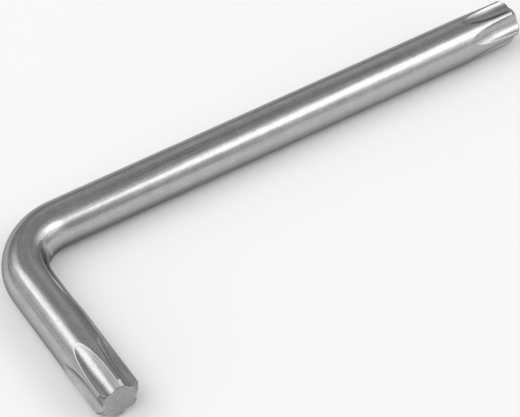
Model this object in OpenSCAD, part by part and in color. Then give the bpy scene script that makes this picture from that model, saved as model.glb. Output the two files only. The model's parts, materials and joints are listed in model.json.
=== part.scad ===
// Star key: one round steel bar, bent square, with a six-lobe star milled on each end.
// It lies flat. The long arm runs along +X and the short arm along -Y from the bend.
// The bar is given as the lengths it is worked in: two star tips, two plain arms and the bend.
// These meet face to face on the bar's axis, and together they are the one bent bar.

/* [Bar] */
// Diameter of the round bar
bar_d = 8.9; // [8:0.1:10]

/* [Arms] */
// Overall length of the long arm, from the back of the short arm to the star's end face
long_l = 117.3; // [80:0.1:220]
// Overall length of the short arm, from the back of the long arm to the star's end face
short_l = 45.4; // [38:0.1:90]
// Radius of the bend, measured on the bar's axis
bend_r = 10.8; // [7:0.1:14]

/* [Stars] */
// Diameter across opposite lobes, a hair under the bar
star_d = 8.8; // [8:0.05:9.6]
// Diameter across the bottoms of opposite flutes
root_d = 6.4; // [5.5:0.05:7.2]
// Radius of a flute's round section, which is that of the milling wheel's rim
flute_r = 2.6; // [1.8:0.1:2.8]
// Length of a flute at its full depth, from the end face
flute_l = 2.5; // [1.5:0.1:6]
// Radius of the milling wheel, whose curve is left where each flute runs out
wheel_r = 34; // [20:1:44]
// Length of the round collar at the star's diameter, behind the run-outs
collar_l = 0.6; // [0.3:0.1:4]
// Length over which the bar eases down to that collar
ease_l = 0.8; // [0.3:0.1:3]
// Length of the chamfer round the end face
chamfer_l = 1; // [0.3:0.1:1.5]
// Depth of the chamfer at the end face, measured on the radius
chamfer_depth = 0.85; // [0.2:0.05:1]
// Turn of the long arm's star about that arm
long_turn = -3; // [-30:1:30]
// Turn of the short arm's star about that arm
short_turn = -8; // [-30:1:30]

/* [Hidden] */
$fn = 96;

lobes = 6;
// The arms stand square to each other
bend_turn = 90;
steel = [0.63, 0.63, 0.64];
// How far a cut runs past the face that it opens
past_face = 1;

bar_r = bar_d / 2;
star_r = star_d / 2;
root_r = root_d / 2;
flute_depth = star_r - root_r;
// Distance of a flute's own axis from the bar's axis
flute_axis_r = root_r + flute_r;
// Length over which the milling wheel leaves the lobes
runout_l = sqrt(pow(wheel_r, 2) - pow(wheel_r - flute_depth, 2));
tip_l = flute_l + runout_l + collar_l + ease_l;

// The point where the two arms' axes would cross, with the key centred on its own footprint
corner_x = -(long_l - bar_d) / 2;
corner_y = (short_l - bar_d) / 2;
// Straight length of each arm, from the bend to the end face
long_straight_l = long_l - bar_r - bend_r;
short_straight_l = short_l - bar_r - bend_r;
long_arm_l = long_straight_l - tip_l;
short_arm_l = short_straight_l - tip_l;

// Stands what follows on the long arm's axis at the bend, with +Z towards the star
module on_long_arm() {
  translate([corner_x + bend_r, corner_y, bar_r])
    rotate([0, 90, 0])
      children();
}

// Stands what follows on the short arm's axis at the bend, with +Z towards the star
module on_short_arm() {
  translate([corner_x, corner_y - bend_r, bar_r])
    rotate([90, 0, 0])
      children();
}

// Turned end of the bar with its chamfer, before the flutes are milled
module turned_end() {
  rotate_extrude()
    polygon([
      [0, 0],
      [bar_r, 0],
      [star_r, ease_l],
      [star_r, tip_l - chamfer_l],
      [star_r - chamfer_depth, tip_l],
      [0, tip_l],
    ]);
}

// What the milling wheel takes away for one flute: a straight groove to the end face,
// then the wheel's own curve where its feed stops
module flute_cut() {
  wheel_ring_r = wheel_r - flute_r;
  translate([flute_axis_r, 0, tip_l - flute_l]) {
    cylinder(r = flute_r, h = flute_l + past_face);
    translate([wheel_ring_r, 0, 0])
      rotate([-90, 0, 180])
        rotate_extrude(angle = 90)
          translate([wheel_ring_r, 0])
            circle(r = flute_r);
  }
}

// End of the bar with a flute between each pair of lobes
module star_tip(turn) {
  color(steel)
    difference() {
      turned_end();
      for (i = [0 : lobes - 1])
        rotate(turn + i * 360 / lobes)
          flute_cut();
    }
}

// Plain round stretch of the bar
module plain_arm(length) {
  color(steel)
    cylinder(d = bar_d, h = length);
}

module long_star_tip() {
  on_long_arm()
    translate([0, 0, long_arm_l])
      star_tip(long_turn);
}

module long_arm() {
  on_long_arm()
    plain_arm(long_arm_l);
}

// Quarter turn of the bar, from the long arm round to the short arm
module bend() {
  color(steel)
    translate([corner_x + bend_r, corner_y - bend_r, bar_r])
      rotate(90)
        rotate_extrude(angle = bend_turn)
          translate([bend_r, 0])
            circle(d = bar_d);
}

module short_arm() {
  on_short_arm()
    plain_arm(short_arm_l);
}

module short_star_tip() {
  on_short_arm()
    translate([0, 0, short_arm_l])
      star_tip(short_turn);
}

long_star_tip();
long_arm();
bend();
short_arm();
short_star_tip();
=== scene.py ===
import json
import math

import bpy
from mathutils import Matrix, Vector


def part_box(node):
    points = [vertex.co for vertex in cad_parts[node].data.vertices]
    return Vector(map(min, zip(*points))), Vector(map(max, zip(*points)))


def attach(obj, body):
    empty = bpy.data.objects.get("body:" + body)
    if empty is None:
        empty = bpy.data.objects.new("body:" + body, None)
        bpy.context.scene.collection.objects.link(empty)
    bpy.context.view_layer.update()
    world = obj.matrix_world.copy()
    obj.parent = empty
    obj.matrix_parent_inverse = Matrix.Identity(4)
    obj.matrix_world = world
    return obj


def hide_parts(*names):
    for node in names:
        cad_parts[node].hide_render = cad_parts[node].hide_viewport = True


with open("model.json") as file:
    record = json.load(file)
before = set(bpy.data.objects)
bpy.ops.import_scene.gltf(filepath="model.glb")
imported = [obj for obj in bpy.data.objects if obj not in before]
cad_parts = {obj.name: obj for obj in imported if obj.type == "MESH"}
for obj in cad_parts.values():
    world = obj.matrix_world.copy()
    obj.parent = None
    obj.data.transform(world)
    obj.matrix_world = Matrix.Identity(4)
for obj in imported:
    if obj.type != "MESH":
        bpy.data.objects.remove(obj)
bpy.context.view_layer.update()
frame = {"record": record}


# The drawn bar: the two plain arms and the bend between them are one length of round steel, drawn through
# a die, bent square round a former once its ends are milled, and plated last with a satin coat, most
# likely nickel and chrome. Nothing is fixed to it. The bend comes out a little thinner in the key's plane.
mm = 0.001
mounts = {mount["name"]: mount for mount in frame["record"]["mounts"]}
bar_radius = mounts["long_shank"]["dims"]["r_mm"] * mm
axis_height = mounts["long_shank"]["pos_m"][2]
long_axis_y = mounts["long_shank"]["pos_m"][1]
short_axis_x = mounts["short_shank"]["pos_m"][0]
bend_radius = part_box("bend")[1].x - short_axis_x
bend_centre = Vector((short_axis_x + bend_radius, long_axis_y - bend_radius, axis_height))

# Lengths along the bar's axis are counted from the short arm's end of the bend, towards the long arm
bend_length = bend_radius * math.pi / 2
long_seat = bend_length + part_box("long_arm")[1].x - bend_centre.x
short_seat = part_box("short_arm")[0].y - bend_centre.y

# The coat is thin, so the lines that the die left along the bar show through it, and it is a little cloudy
PLATING_LIGHT = (0.53, 0.53, 0.53, 1)
PLATING_DARK = (0.39, 0.39, 0.39, 1)
# Its tint where it is seen at a glancing angle
PLATING_RIM = (0.47, 0.47, 0.47, 1)
# Its darkest colour: on the chamfers and end faces, and as painted shade inside the angle and at the
# flutes' ends
PLATING_SHADE_AND_DARK = (0.12, 0.12, 0.12, 1)
# How far the grain and the drawn lines sway the colour between the light and the dark
GRAIN_SHARE = 0.26
STREAK_SHARE = 0.27
# The stretch of a noise's values that sways the colour, and the stretch that sways the gloss
SHADE_RANGE = (0.35, 0.65)
GLOSS_RANGE = (0.3, 0.7)
# How many finer layers each noise has, and how strongly they show in the drawn lines
STREAK_DETAIL = 4.0
STREAK_FINENESS = 0.6
PATCH_DETAIL = 3.0
GRAIN_DETAIL = 2.0


def add_node(tree, kind, inputs=None, **settings):
    """Adds a node to a tree, sets its options, and plugs or sets the inputs that are named."""
    node = tree.nodes.new(kind)
    for option, value in settings.items():
        setattr(node, option, value)
    for name, value in (inputs or {}).items():
        plug(tree, value, node.inputs[name])
    return node


def plug(tree, value, socket):
    """Links a socket to another one, or sets it to a plain value."""
    if isinstance(value, Wire):
        tree.links.new(value.socket, socket)
    elif isinstance(value, bpy.types.NodeSocket):
        tree.links.new(value, socket)
    else:
        socket.default_value = value


class Wire:
    """A number flowing through a node tree: arithmetic on it adds the math nodes that work it out."""

    def __init__(self, tree, socket):
        self.tree = tree
        self.socket = socket

    def math(self, operation, *others):
        node = add_node(self.tree, "ShaderNodeMath", operation=operation)
        for value, socket in zip((self, *others), node.inputs):
            plug(self.tree, value, socket)
        return Wire(self.tree, node.outputs[0])

    def __add__(self, other):
        return self.math("ADD", other)

    def __sub__(self, other):
        return self.math("SUBTRACT", other)

    def __mul__(self, other):
        return self.math("MULTIPLY", other)

    def __truediv__(self, other):
        return self.math("DIVIDE", other)

    def clamp(self, low, high):
        return self.math("MAXIMUM", low).math("MINIMUM", high)

    def sqrt(self):
        return self.math("MAXIMUM", 0.0).math("SQRT")

    def sin(self):
        return self.math("SINE")

    def cos(self):
        return self.math("COSINE")


def eased(share):
    """A smooth step from 0 to 1 as the share goes from 0 to 1."""
    held = share.clamp(0.0, 1.0)
    return held * held * (held * -2.0 + 3.0)


def bell(offset):
    """A smooth bump of height 1 and width 1 round 0."""
    return (offset * offset * -1.0).math("EXPONENT")


def rest_of(share):
    """What is left of 1 once the share is taken off it."""
    return share * -1.0 + 1.0


def vector_math(tree, operation, first, second):
    """Adds a node that works on two vectors."""
    return add_node(tree, "ShaderNodeVectorMath", {0: first, 1: second}, operation=operation)


def mixed(tree, share, first, second):
    """Mixes two colours: the first at a share of 0, the second at a share of 1."""
    mix = add_node(tree, "ShaderNodeMix", data_type="RGBA")
    # The node has sockets for other kinds of value too, and its colours are at these places
    for place, value in ((0, share), (6, first), (7, second)):
        plug(tree, value, mix.inputs[place])
    return mix.outputs[2]


def float_sockets(*names):
    """Sockets with these names that each take a number."""
    return {name: "NodeSocketFloat" for name in names}


def new_tree(name, kind, inputs, outputs):
    """Starts a node tree with these named sockets, and gives its inputs as Wires and its output node."""
    tree = bpy.data.node_groups.new(name, kind)
    for socket_name, socket_type in inputs.items():
        tree.interface.new_socket(socket_name, in_out="INPUT", socket_type=socket_type)
    for socket_name, socket_type in outputs.items():
        tree.interface.new_socket(socket_name, in_out="OUTPUT", socket_type=socket_type)
    entry = tree.nodes.new("NodeGroupInput")
    wires = {name: Wire(tree, entry.outputs[name]) for name in inputs}
    return tree, wires, tree.nodes.new("NodeGroupOutput")


def drawn_lines_group():
    """Streaks along the bar, cloudy patches and fine grain, from a point's place on the straight bar."""
    tree, given, result = new_tree(
        "drawn_lines", "ShaderNodeTree",
        {"Place": "NodeSocketVector", "Stretch": "NodeSocketVector",
         **float_sockets("Patch Scale", "Grain Scale")},
        float_sockets("Streak", "Patch", "Grain"))
    stretched = vector_math(tree, "MULTIPLY", given["Place"], given["Stretch"])
    streak = add_node(tree, "ShaderNodeTexNoise",
                      {"Vector": stretched.outputs[0], "Scale": 1.0, "Detail": STREAK_DETAIL,
                       "Roughness": STREAK_FINENESS})
    patch = add_node(tree, "ShaderNodeTexNoise",
                     {"Vector": given["Place"], "Scale": given["Patch Scale"], "Detail": PATCH_DETAIL})
    grain = add_node(tree, "ShaderNodeTexNoise",
                     {"Vector": given["Place"], "Scale": given["Grain Scale"], "Detail": GRAIN_DETAIL})
    plug(tree, streak.outputs["Fac"], result.inputs["Streak"])
    plug(tree, patch.outputs["Fac"], result.inputs["Patch"])
    plug(tree, grain.outputs["Fac"], result.inputs["Grain"])
    return tree


drawn_lines = drawn_lines_group()


def plated_steel(name, stretch, patch_scale, grain_scale, roughness, cut_roughness, line_depth):
    """Satin plating over steel, with its lines stretched along the bar, and duller where it is cut."""
    material = bpy.data.materials.new(name)
    material.use_nodes = True
    tree = material.node_tree
    shader = tree.nodes["Principled BSDF"]
    unbent = add_node(tree, "ShaderNodeAttribute", attribute_name="unbent")
    burnt = add_node(tree, "ShaderNodeAttribute", attribute_name="burnt")
    cut = add_node(tree, "ShaderNodeAttribute", attribute_name="cut")
    lines = add_node(tree, "ShaderNodeGroup",
                     {"Place": unbent.outputs["Vector"], "Stretch": stretch, "Patch Scale": patch_scale,
                      "Grain Scale": grain_scale}, node_tree=drawn_lines)

    shade = Wire(tree, lines.outputs["Patch"])
    for effect, share in (("Grain", GRAIN_SHARE), ("Streak", STREAK_SHARE)):
        sway = add_node(tree, "ShaderNodeMapRange",
                        {"Value": lines.outputs[effect], "From Min": SHADE_RANGE[0],
                         "From Max": SHADE_RANGE[1], "To Min": -share, "To Max": share})
        shade = shade + sway.outputs[0]
    bright_coat = mixed(tree, shade, PLATING_DARK, PLATING_LIGHT)
    # Darker where the points say so: on chamfers and end faces, and as painted shade inside the angle and
    # at the flutes' ends
    coat = mixed(tree, burnt.outputs["Fac"], bright_coat, PLATING_SHADE_AND_DARK)
    plug(tree, coat, shader.inputs["Base Color"])
    plug(tree, 1.0, shader.inputs["Metallic"])
    plug(tree, PLATING_RIM, shader.inputs["Specular Tint"])

    low, high = roughness
    gloss = add_node(tree, "ShaderNodeMapRange",
                     {"Value": lines.outputs["Streak"], "From Min": GLOSS_RANGE[0],
                      "From Max": GLOSS_RANGE[1], "To Min": low, "To Max": high})
    dulled = Wire(tree, cut.outputs["Fac"]) * (cut_roughness - high)
    plug(tree, dulled + gloss.outputs[0], shader.inputs["Roughness"])
    bump = add_node(tree, "ShaderNodeBump",
                    {"Height": lines.outputs["Streak"], "Strength": 1.0, "Distance": line_depth})
    plug(tree, bump.outputs[0], shader.inputs["Normal"])
    return material


bar_plating = plated_steel("satin_plating", stretch=(70, 2600, 2600), patch_scale=420, grain_scale=3300,
                           roughness=(0.19, 0.26), cut_roughness=0.31, line_depth=0.005 * mm)

# The bar starts and ends its turn gently, over this much of an angle in radians
BEND_EASE = 0.35
# The former has pressed an oval patch into the inside of the bend and the short arm beside it. It is
# widest at its middle, and narrows no more once it is past the place where it holds. A fine crease with
# a raised lip runs round it. Along the bar, the mark fades in, holds, and stops at a small step.
bend_sizes = {
    "Squeeze": 0.03,
    "Patch Turn": math.radians(57),
    "Patch Middle": -4.2 * mm,
    "Patch Reach": 19.5 * mm,
    "Patch Holds": 1.0 * mm,
    "Crease Depth": 0.08 * mm,
    "Crease Width": 0.08 * mm,
    "Lip Height": 0.10 * mm,
    "Pressed Depth": 0.18 * mm,
    "Pressed Width": 1.6 * mm,
    "Press Fades": -11.5 * mm,
    "Press Holds": -6.5 * mm,
    "Press Stops": 8.9 * mm,
    "Press Step": 0.35 * mm}
# The lip stands this many widths of the crease inside it
LIP_INSIDE = 2.0
# Painted shade: the plating is darkened on the lower inside of the angle along the long arm, and most
# of all beside the bend, in place of the shaded table that it mirrors there
INSIDE_SHADE_TURN = math.radians(192)
INSIDE_SHADE_WIDTH = math.radians(16)
INSIDE_SHADE_BEND = 0.40
INSIDE_SHADE_ARM = 0.27
inside_shade_reach = 40 * mm
inside_shade_starts = -10 * mm
inside_shade_holds = 5 * mm
# The bar is a sheet of points rolled up. Its columns crowd towards the edges of the patch, which lie a
# third of a turn to each side of the bend's outside.
BAR_COLUMNS = 320
ARM_ROWS = 62
BEND_ROWS = 122
CROWDED_PLACES = 3
COLUMN_CROWDING = 0.7
# Points closer than the weld are one, and edges that turn more than the sharp angle are not smoothed
WELD = 0.001 * mm
SHARP = math.radians(50)


def bent_square_group():
    """Turns a place on the straight bar into the place that it has once the bar is bent."""
    tree, given, result = new_tree(
        "bent_square", "GeometryNodeTree",
        {**float_sockets("Along", "Outward", "Height", "Bend Radius"), "Bend Centre": "NodeSocketVector"},
        {"Position": "NodeSocketVector"})
    share = given["Along"] / given["Bend Radius"]
    before = share.math("SMOOTH_MIN", 0.0, BEND_EASE)
    after = (share - math.pi / 2).math("SMOOTH_MAX", 0.0, BEND_EASE)
    turned = share - before - after
    reach = given["Bend Radius"] + given["Outward"]
    offset = add_node(tree, "ShaderNodeCombineXYZ",
                      {"X": after * given["Bend Radius"] - reach * turned.cos(),
                       "Y": before * given["Bend Radius"] + reach * turned.sin(),
                       "Z": given["Height"]})
    place = vector_math(tree, "ADD", offset.outputs[0], given["Bend Centre"])
    plug(tree, place.outputs[0], result.inputs["Position"])
    return tree


bent_square = bent_square_group()


def ring_grid(tree, columns, rows):
    """A sheet of points to be rolled into a bar: gives it with each point's turn and row number."""
    sheet = add_node(tree, "GeometryNodeMeshGrid",
                     {"Size X": 1.0, "Size Y": 1.0, "Vertices X": columns + 1.0, "Vertices Y": rows + 1.0})
    place = add_node(tree, "ShaderNodeSeparateXYZ",
                     {"Vector": tree.nodes.new("GeometryNodeInputPosition").outputs[0]})
    turn = (Wire(tree, place.outputs["X"]) + 0.5) * (2 * math.pi)
    row = ((Wire(tree, place.outputs["Y"]) + 0.5) * rows).math("ROUND")
    return sheet.outputs["Mesh"], turn, row


def painted_inside_shade(along, outward, height):
    """Painted shade on the lower inside of the angle, strongest beside the bend and fading out on the
    short arm.
    """
    off_inside = (height.math("ARCTAN2", outward) - INSIDE_SHADE_TURN).math("WRAP", math.pi, -math.pi)
    beside_bend = bell((along - bend_length / 2) / inside_shade_reach)
    on_long_arm = eased((along - inside_shade_starts) / (inside_shade_holds - inside_shade_starts))
    return bell(off_inside / INSIDE_SHADE_WIDTH) * (beside_bend * INSIDE_SHADE_BEND + INSIDE_SHADE_ARM) * on_long_arm


def stored(tree, geometry, name, value, data_type):
    """Keeps a value at each point of the geometry under this name."""
    keeper = add_node(tree, "GeometryNodeStoreNamedAttribute", data_type=data_type, domain="POINT")
    for socket_name, socket_value in (("Geometry", geometry), ("Name", name), ("Value", value)):
        plug(tree, socket_value, keeper.inputs[socket_name])
    return keeper.outputs[0]


def rolled_up(tree, sheet, given, along, outward, height, cut, burnt):
    """Rolls the sheet into a bar, bends it and closes its seam.

    Each point keeps its place on the unbent bar, whether a tool has cut the surface there, and how much
    darker it is, painted shade inside the angle included.
    """
    unbent = add_node(tree, "ShaderNodeCombineXYZ", {"X": along, "Y": outward, "Z": height})
    kept = stored(tree, sheet, "unbent", unbent.outputs[0], "FLOAT_VECTOR")
    kept = stored(tree, kept, "cut", cut, "FLOAT")
    # The darkening includes painted shade on the inside of the angle
    kept = stored(tree, kept, "burnt", painted_inside_shade(along, outward, height) + burnt, "FLOAT")
    bent = add_node(tree, "GeometryNodeGroup",
                    {"Along": along, "Outward": outward, "Height": height,
                     "Bend Radius": given["Bend Radius"], "Bend Centre": given["Bend Centre"]},
                    node_tree=bent_square)
    placed = add_node(tree, "GeometryNodeSetPosition", {"Geometry": kept, "Position": bent.outputs[0]})
    welded = add_node(tree, "GeometryNodeMergeByDistance",
                      {"Geometry": placed.outputs[0], "Distance": WELD})
    smooth = add_node(tree, "GeometryNodeSetShadeSmooth", {"Geometry": welded.outputs[0]}, domain="FACE")
    angle = Wire(tree, tree.nodes.new("GeometryNodeInputMeshEdgeAngle").outputs["Unsigned Angle"])
    creased = add_node(tree, "GeometryNodeSetShadeSmooth",
                       {"Geometry": smooth.outputs[0], "Selection": angle.math("GREATER_THAN", SHARP),
                        "Shade Smooth": False}, domain="EDGE")
    return creased.outputs[0]


def dressed(tree, geometry, material, result):
    """Ends a tree: real geometry, wearing its material."""
    real = add_node(tree, "GeometryNodeRealizeInstances", {"Geometry": geometry})
    worn = add_node(tree, "GeometryNodeSetMaterial", {"Geometry": real.outputs[0], "Material": material})
    plug(tree, worn.outputs[0], result.inputs["Geometry"])


BAR_SOCKETS = {
    **float_sockets("Bar Radius", "Bend Radius", "From", "To"), "Bend Centre": "NodeSocketVector",
    "Columns": "NodeSocketInt", "Rows": "NodeSocketInt", "Plating": "NodeSocketMaterial"}


def plain_length_tree():
    """A plain stretch of the bar, closed at both ends, thinned where it goes round the bend."""
    tree, given, result = new_tree("plain_length", "GeometryNodeTree",
                                   {**BAR_SOCKETS, **float_sockets(*bend_sizes)},
                                   {"Geometry": "NodeSocketGeometry"})
    sheet, turn, row = ring_grid(tree, given["Columns"], given["Rows"])
    turn = turn - (turn * float(CROWDED_PLACES)).sin() * (COLUMN_CROWDING / CROWDED_PLACES)
    share = ((row - 1.0) / (given["Rows"] - 2.0)).clamp(0.0, 1.0)
    along = given["From"] + (given["To"] - given["From"]) * share
    # The first and last rows are the middles of the end faces
    at_middle = row.math("COMPARE", 0.0, 0.5) + row.math("COMPARE", given["Rows"], 0.5)

    # The former's mark: a crease, its lip and the pressed patch that they run round
    past_middle = along.math("MINIMUM", given["Patch Holds"]) - given["Patch Middle"]
    narrowing = past_middle / given["Patch Reach"]
    patch_edge = given["Patch Turn"] - narrowing * narrowing
    past_crease = ((turn - math.pi).math("ABSOLUTE") - patch_edge) * given["Bar Radius"]
    crease = given["Crease Depth"] * bell(past_crease / given["Crease Width"])
    lip = given["Lip Height"] * bell(past_crease / given["Crease Width"] + LIP_INSIDE)
    pressed = given["Pressed Depth"] * eased(past_crease * -1.0 / given["Pressed Width"])
    held = eased((along - given["Press Fades"]) / (given["Press Holds"] - given["Press Fades"]))
    held = held * eased((given["Press Stops"] - along) / given["Press Step"])
    marked = given["Bar Radius"] + (lip - crease - pressed) * held

    reach = marked * rest_of(at_middle)
    bending = (along / given["Bend Radius"]).clamp(0.0, math.pi / 2) * 2.0
    thinned = bending.sin().math("POWER", 2.0) * given["Squeeze"]
    outward = turn.cos() * reach * rest_of(thinned)
    height = turn.sin() * reach
    bar = rolled_up(tree, sheet, given, along, outward, height, cut=0.0, burnt=0.0)
    dressed(tree, bar, given["Plating"], result)
    return tree


def grown(tree, name, sizes):
    """Runs a tree with these sizes and gives its result as a plain mesh object."""
    seed = bpy.data.objects.new(name + "_seed", bpy.data.meshes.new(name + "_seed"))
    bpy.context.scene.collection.objects.link(seed)
    modifier = seed.modifiers.new(tree.name, "NODES")
    modifier.node_group = tree
    for item in tree.interface.items_tree:
        if item.in_out == "INPUT":
            modifier[item.identifier] = sizes[item.name]
    evaluated = seed.evaluated_get(bpy.context.evaluated_depsgraph_get())
    mesh = bpy.data.meshes.new_from_object(evaluated)
    seed.modifiers.clear()
    bpy.data.objects.remove(seed)
    mesh.name = name
    piece = bpy.data.objects.new(name, mesh)
    bpy.context.scene.collection.objects.link(piece)
    return piece


plain_length = plain_length_tree()
bar_sizes = {"Bar Radius": bar_radius, "Bend Radius": bend_radius, "Bend Centre": bend_centre,
             "Plating": bar_plating}
for node, start, end, rows in (("long_arm", bend_length, long_seat, ARM_ROWS),
                               ("bend", 0.0, bend_length, BEND_ROWS),
                               ("short_arm", short_seat, 0.0, ARM_ROWS)):
    length = grown(plain_length, "plated_" + node,
                   {**bar_sizes, **bend_sizes, "From": start, "To": end, "Columns": BAR_COLUMNS,
                    "Rows": rows})
    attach(length, "root")
    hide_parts(node)


# The star tips: each end of the same steel bar is turned with a small chamfer, and a wheel with a rounded
# rim mills six flutes along it, which leaves the wheel's own curve where each one runs out. Tumbling has
# taken the sharpness off the rims of the flutes and the end face, and the plating covers it all.
star_sizes = {
    "Star Radius": 4.4 * mm,
    "Root Radius": 3.2 * mm,
    "Flute Radius": 2.6 * mm,
    "Flute Length": 2.5 * mm,
    "Wheel Radius": 34 * mm,
    "Chamfer Length": 1.0 * mm,
    "Chamfer Depth": 0.85 * mm,
    "Rim Rounding": 0.17 * mm,
    "Chamfer Rounding": 0.06 * mm,
    "Face Rounding": 0.10 * mm,
    "Lobes": 6.0}
long_star_turn = math.radians(27)
short_star_turn = math.radians(-8)
# How much duller than other cut steel the rims of the side flutes are. Only the short tip's are rubbed.
LONG_RIM_RUBBING = 0.0
SHORT_RIM_RUBBING = 5.0
# How much darker the chamfer and the end face are, and how much painted shade darkens a line where the
# upper flutes run out through that face. The line's width is counted in roundings of the face's edge.
CHAMFER_DARKENING = 0.4
FACE_DARKENING = 0.18
EDGE_SHADE = 0.75
EDGE_WIDTH = 1.3
STAR_COLUMNS = 336
SIDE_ROWS = 170
ROUND_ROWS = 6
FACE_ROWS = 10
STAR_ROWS = 1 + SIDE_ROWS + ROUND_ROWS + FACE_ROWS


def star_length_tree():
    """A milled end of the bar: its rows run over the seat, along the flutes and over the end face."""
    tree, given, result = new_tree(
        "star_length", "GeometryNodeTree",
        {**BAR_SOCKETS, **float_sockets(*star_sizes, "Star Turn", "Sense", "Rim Rubbing")},
        {"Geometry": "NodeSocketGeometry"})
    sheet, turn, row = ring_grid(tree, given["Columns"], given["Rows"])
    length = (given["To"] - given["From"]) * given["Sense"]
    on_side = ((row - 1.0) / float(SIDE_ROWS)).clamp(0.0, 1.0)
    on_edge = ((row - (1.0 + SIDE_ROWS)) / float(ROUND_ROWS)).clamp(0.0, 1.0) * (math.pi / 2)
    on_face = ((row - (1.0 + SIDE_ROWS + ROUND_ROWS)) / float(FACE_ROWS)).clamp(0.0, 1.0)
    from_seat = on_side * (length - given["Face Rounding"]) + on_edge.sin() * given["Face Rounding"]
    from_end = length - from_seat

    # The turned end: the bar eases down to the star, and the chamfer takes the corner off
    ease = eased(from_seat / (length - given["Flute Length"]))
    turned = given["Bar Radius"] + (given["Star Radius"] - given["Bar Radius"]) * ease
    chamfer = given["Star Radius"] + given["Chamfer Depth"] * (from_end / given["Chamfer Length"] - 1.0)
    ring = turned.math("SMOOTH_MIN", chamfer, given["Chamfer Rounding"])

    # One flute, in its own frame: x runs out through its middle, y across it
    half_pitch = Wire(tree, add_node(tree, "ShaderNodeMath", {0: math.pi, 1: given["Lobes"]},
                                     operation="DIVIDE").outputs[0])
    off_middle = (turn - given["Star Turn"]).math("WRAP", half_pitch, half_pitch * -1.0)
    middle = turn - off_middle
    across = ring * off_middle.sin()
    lobe = ring * off_middle.cos()
    run_out = (from_end - given["Flute Length"]).math("MAXIMUM", 0.0)
    rim_centre = given["Wheel Radius"] - given["Flute Radius"]
    half_depth = (given["Flute Radius"] * given["Flute Radius"] - across * across).sqrt()
    wheel = rim_centre + half_depth
    wheel_drop = (wheel * wheel - run_out * run_out).sqrt()
    groove = given["Root Radius"] + given["Wheel Radius"] - wheel_drop

    # The rim between flute and lobe is rounded over one width, however steeply the two meet
    slope_along = run_out / wheel_drop
    slope_across = wheel / wheel_drop * (across / half_depth) + across / lobe
    steepness = (slope_along * slope_along + slope_across * slope_across).sqrt()
    out = lobe.math("SMOOTH_MIN", groove, given["Rim Rounding"] * steepness)

    # The end face draws the outline in to its middle, and the seat does the same behind
    outline = (out * out + across * across).sqrt()
    inset = rest_of(on_edge.cos()) * given["Face Rounding"]
    shrunk = ((outline - inset) / outline) * rest_of(on_face) * row.math("MINIMUM", 1.0)
    side = (out * middle.cos() - across * middle.sin()) * shrunk
    height = (out * middle.sin() + across * middle.cos()) * shrunk
    along = given["From"] + from_seat * given["Sense"]

    # Where tools have cut the surface, where its rims are rubbed, where it is darker, and where shade is
    # painted
    milled = eased((lobe - groove) / given["Rim Rounding"] * 0.5 + 0.5)
    chamfered = eased((turned - chamfer) / given["Chamfer Rounding"] * 0.5 + 0.5)
    sheared = on_face.math("GREATER_THAN", 0.0)
    upper = middle.sin().clamp(0.0, 1.0)
    rubbed = bell((lobe - groove) / given["Rim Rounding"]) * rest_of(upper * upper)
    worked = milled.math("MAXIMUM", chamfered).math("MAXIMUM", sheared)
    cut = worked + rubbed * given["Rim Rubbing"]
    edge = bell((from_end / given["Face Rounding"] - 1.0) / EDGE_WIDTH) * on_edge.cos()
    # Painted shade: a dark line where the upper flutes run out through the end face
    painted_edge_shade = milled * edge * upper * upper
    facet = chamfered * rest_of(milled) * rest_of(sheared)
    burnt = painted_edge_shade * EDGE_SHADE + facet * CHAMFER_DARKENING + sheared * FACE_DARKENING
    bar = rolled_up(tree, sheet, given, along, side * given["Sense"], height, cut, burnt)
    dressed(tree, bar, given["Plating"], result)
    return tree


star_length = star_length_tree()
long_end = bend_length + mounts["long_end"]["pos_m"][0] - bend_centre.x
short_end = mounts["short_end"]["pos_m"][1] - bend_centre.y
for node, seat, end, sense, star_turn, rubbing in (
        ("long_star_tip", long_seat, long_end, 1.0, long_star_turn, LONG_RIM_RUBBING),
        ("short_star_tip", short_seat, short_end, -1.0, short_star_turn, SHORT_RIM_RUBBING)):
    tip = grown(star_length, "plated_" + node,
                {**bar_sizes, **star_sizes, "From": seat, "To": end, "Columns": STAR_COLUMNS,
                 "Rows": STAR_ROWS, "Sense": sense, "Star Turn": star_turn, "Rim Rubbing": rubbing})
    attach(tip, "root")
    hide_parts(node)


# The table: the key lies on a plain pale sheet, painted matt so that it mirrors nothing.
# It belongs to the setting, and no part of the key is fixed to it.
TABLE_WHITE = (0.95, 0.95, 0.95, 1)
TABLE_ROUGHNESS = 0.9
table_half = 1.5
table_corners = [(-table_half, -table_half, 0), (table_half, -table_half, 0),
                 (table_half, table_half, 0), (-table_half, table_half, 0)]
table_mesh = bpy.data.meshes.new("table")
table_mesh.from_pydata(table_corners, [], [(0, 1, 2, 3)])
table = bpy.data.objects.new("table", table_mesh)
bpy.context.scene.collection.objects.link(table)
table_paint = bpy.data.materials.new("pale_table")
table_paint.use_nodes = True
table_shader = table_paint.node_tree.nodes["Principled BSDF"]
table_shader.inputs["Base Color"].default_value = TABLE_WHITE
table_shader.inputs["Roughness"].default_value = TABLE_ROUGHNESS
table_shader.inputs["Specular IOR Level"].default_value = 0.0
table_mesh.materials.append(table_paint)


# The studio: two soft oblong lamps face the key from opposite sides, a wide one in front to the right and
# a squarer one behind to the left. The room round them is dim, with pale sides that the plating mirrors.
lamp_distance = 0.8
ROOM_WHITE = (1, 1, 1, 1)
ROOM_DIM = 0.29
# Azimuth and elevation, brightness and tightness of each pale side of the room, and of two darker sides
ROOM_GLOWS = ((173, 22, 1.02, 5.5),
              (-41, 36, 1.3, 12.0),
              (57, 28, 0.33, 19.0),
              (116, 32, 0.8, 46.0),
              (-65, -6, 0.9, 31.0),
              (-84, 26, -0.15, 11.4),
              (142, 20, -0.16, 70.0),
              (-5, 38, 1.0, 34.0),
              (-135, 66, 2.2, 24.0))


def towards(azimuth, elevation):
    """The direction that lies at these degrees from +X and up from the table."""
    turn = math.radians(azimuth)
    rise = math.radians(elevation)
    return Vector((math.cos(rise) * math.cos(turn), math.cos(rise) * math.sin(turn), math.sin(rise)))


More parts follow.
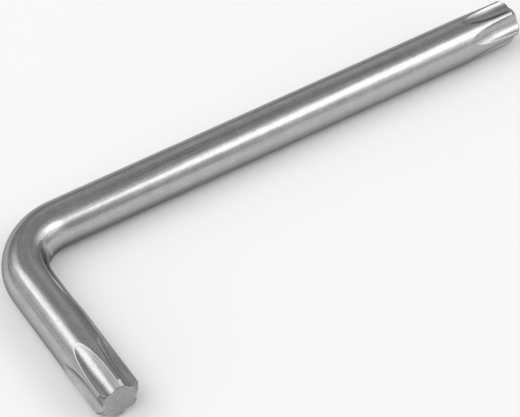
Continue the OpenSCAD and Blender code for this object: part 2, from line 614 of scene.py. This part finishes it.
def soft_lamp(name, azimuth, elevation, spread, radiance):
    """A lamp that faces the key and fills this spread of its view, in degrees across and upright."""
    light = bpy.data.lights.new(name, "AREA")
    light.shape = "RECTANGLE"
    light.size, light.size_y = (2 * lamp_distance * math.tan(math.radians(angle / 2)) for angle in spread)
    light.energy = radiance * math.pi * light.size * light.size_y
    lamp = bpy.data.objects.new(name, light)
    lamp.location = towards(azimuth, elevation) * lamp_distance
    lamp.rotation_mode = "QUATERNION"
    lamp.rotation_quaternion = towards(azimuth, elevation).to_track_quat("Z", "Y")
    bpy.context.scene.collection.objects.link(lamp)


soft_lamp("front_lamp", azimuth=-42.5, elevation=48.2, spread=(37, 20), radiance=1.56)
soft_lamp("back_lamp", azimuth=143.3, elevation=55.5, spread=(37, 38), radiance=1.48)

world = bpy.data.worlds.new("pale_room")
bpy.context.scene.world = world
world.use_nodes = True
room = world.node_tree
looking = add_node(room, "ShaderNodeTexCoord").outputs["Generated"]
brightness = Wire(room, add_node(room, "ShaderNodeValue").outputs[0])
brightness.socket.default_value = ROOM_DIM
for azimuth, elevation, strength, tightness in ROOM_GLOWS:
    facing = vector_math(room, "DOT_PRODUCT", looking, towards(azimuth, elevation))
    glow = ((Wire(room, facing.outputs["Value"]) - 1.0) * tightness).math("EXPONENT")
    brightness = brightness + glow * strength
plug(room, brightness, room.nodes["Background"].inputs["Strength"])
plug(room, ROOM_WHITE, room.nodes["Background"].inputs["Color"])

bpy.context.scene.view_settings.view_transform = "Standard"


# The camera: it looks down on the key from the front left, through a long lens.
# It aims at a place inside the angle, which is given from the corner where the two arms' axes cross.
CAMERA_TURN = math.radians(-32.81)
CAMERA_RISE = math.radians(46.78)
camera_distance = 369.42 * mm
aim_along_x = 43.53 * mm
aim_along_y = -16.54 * mm
LENS_MM = 140.82
SENSOR_MM = 36
nearest_seen = 10 * mm
camera_aim = Vector((short_axis_x + aim_along_x, long_axis_y + aim_along_y, axis_height))
towards_camera = Vector((math.sin(CAMERA_TURN) * math.cos(CAMERA_RISE),
                         -math.cos(CAMERA_TURN) * math.cos(CAMERA_RISE), math.sin(CAMERA_RISE)))
camera_data = bpy.data.cameras.new("camera")
camera_data.sensor_width = SENSOR_MM
camera_data.lens = LENS_MM
camera_data.clip_start = nearest_seen
camera = bpy.data.objects.new("camera", camera_data)
camera.location = camera_aim + towards_camera * camera_distance
camera.rotation_mode = "QUATERNION"
camera.rotation_quaternion = towards_camera.to_track_quat("Z", "Y")
bpy.context.scene.collection.objects.link(camera)
bpy.context.scene.camera = camera


bpy.context.view_layer.update()
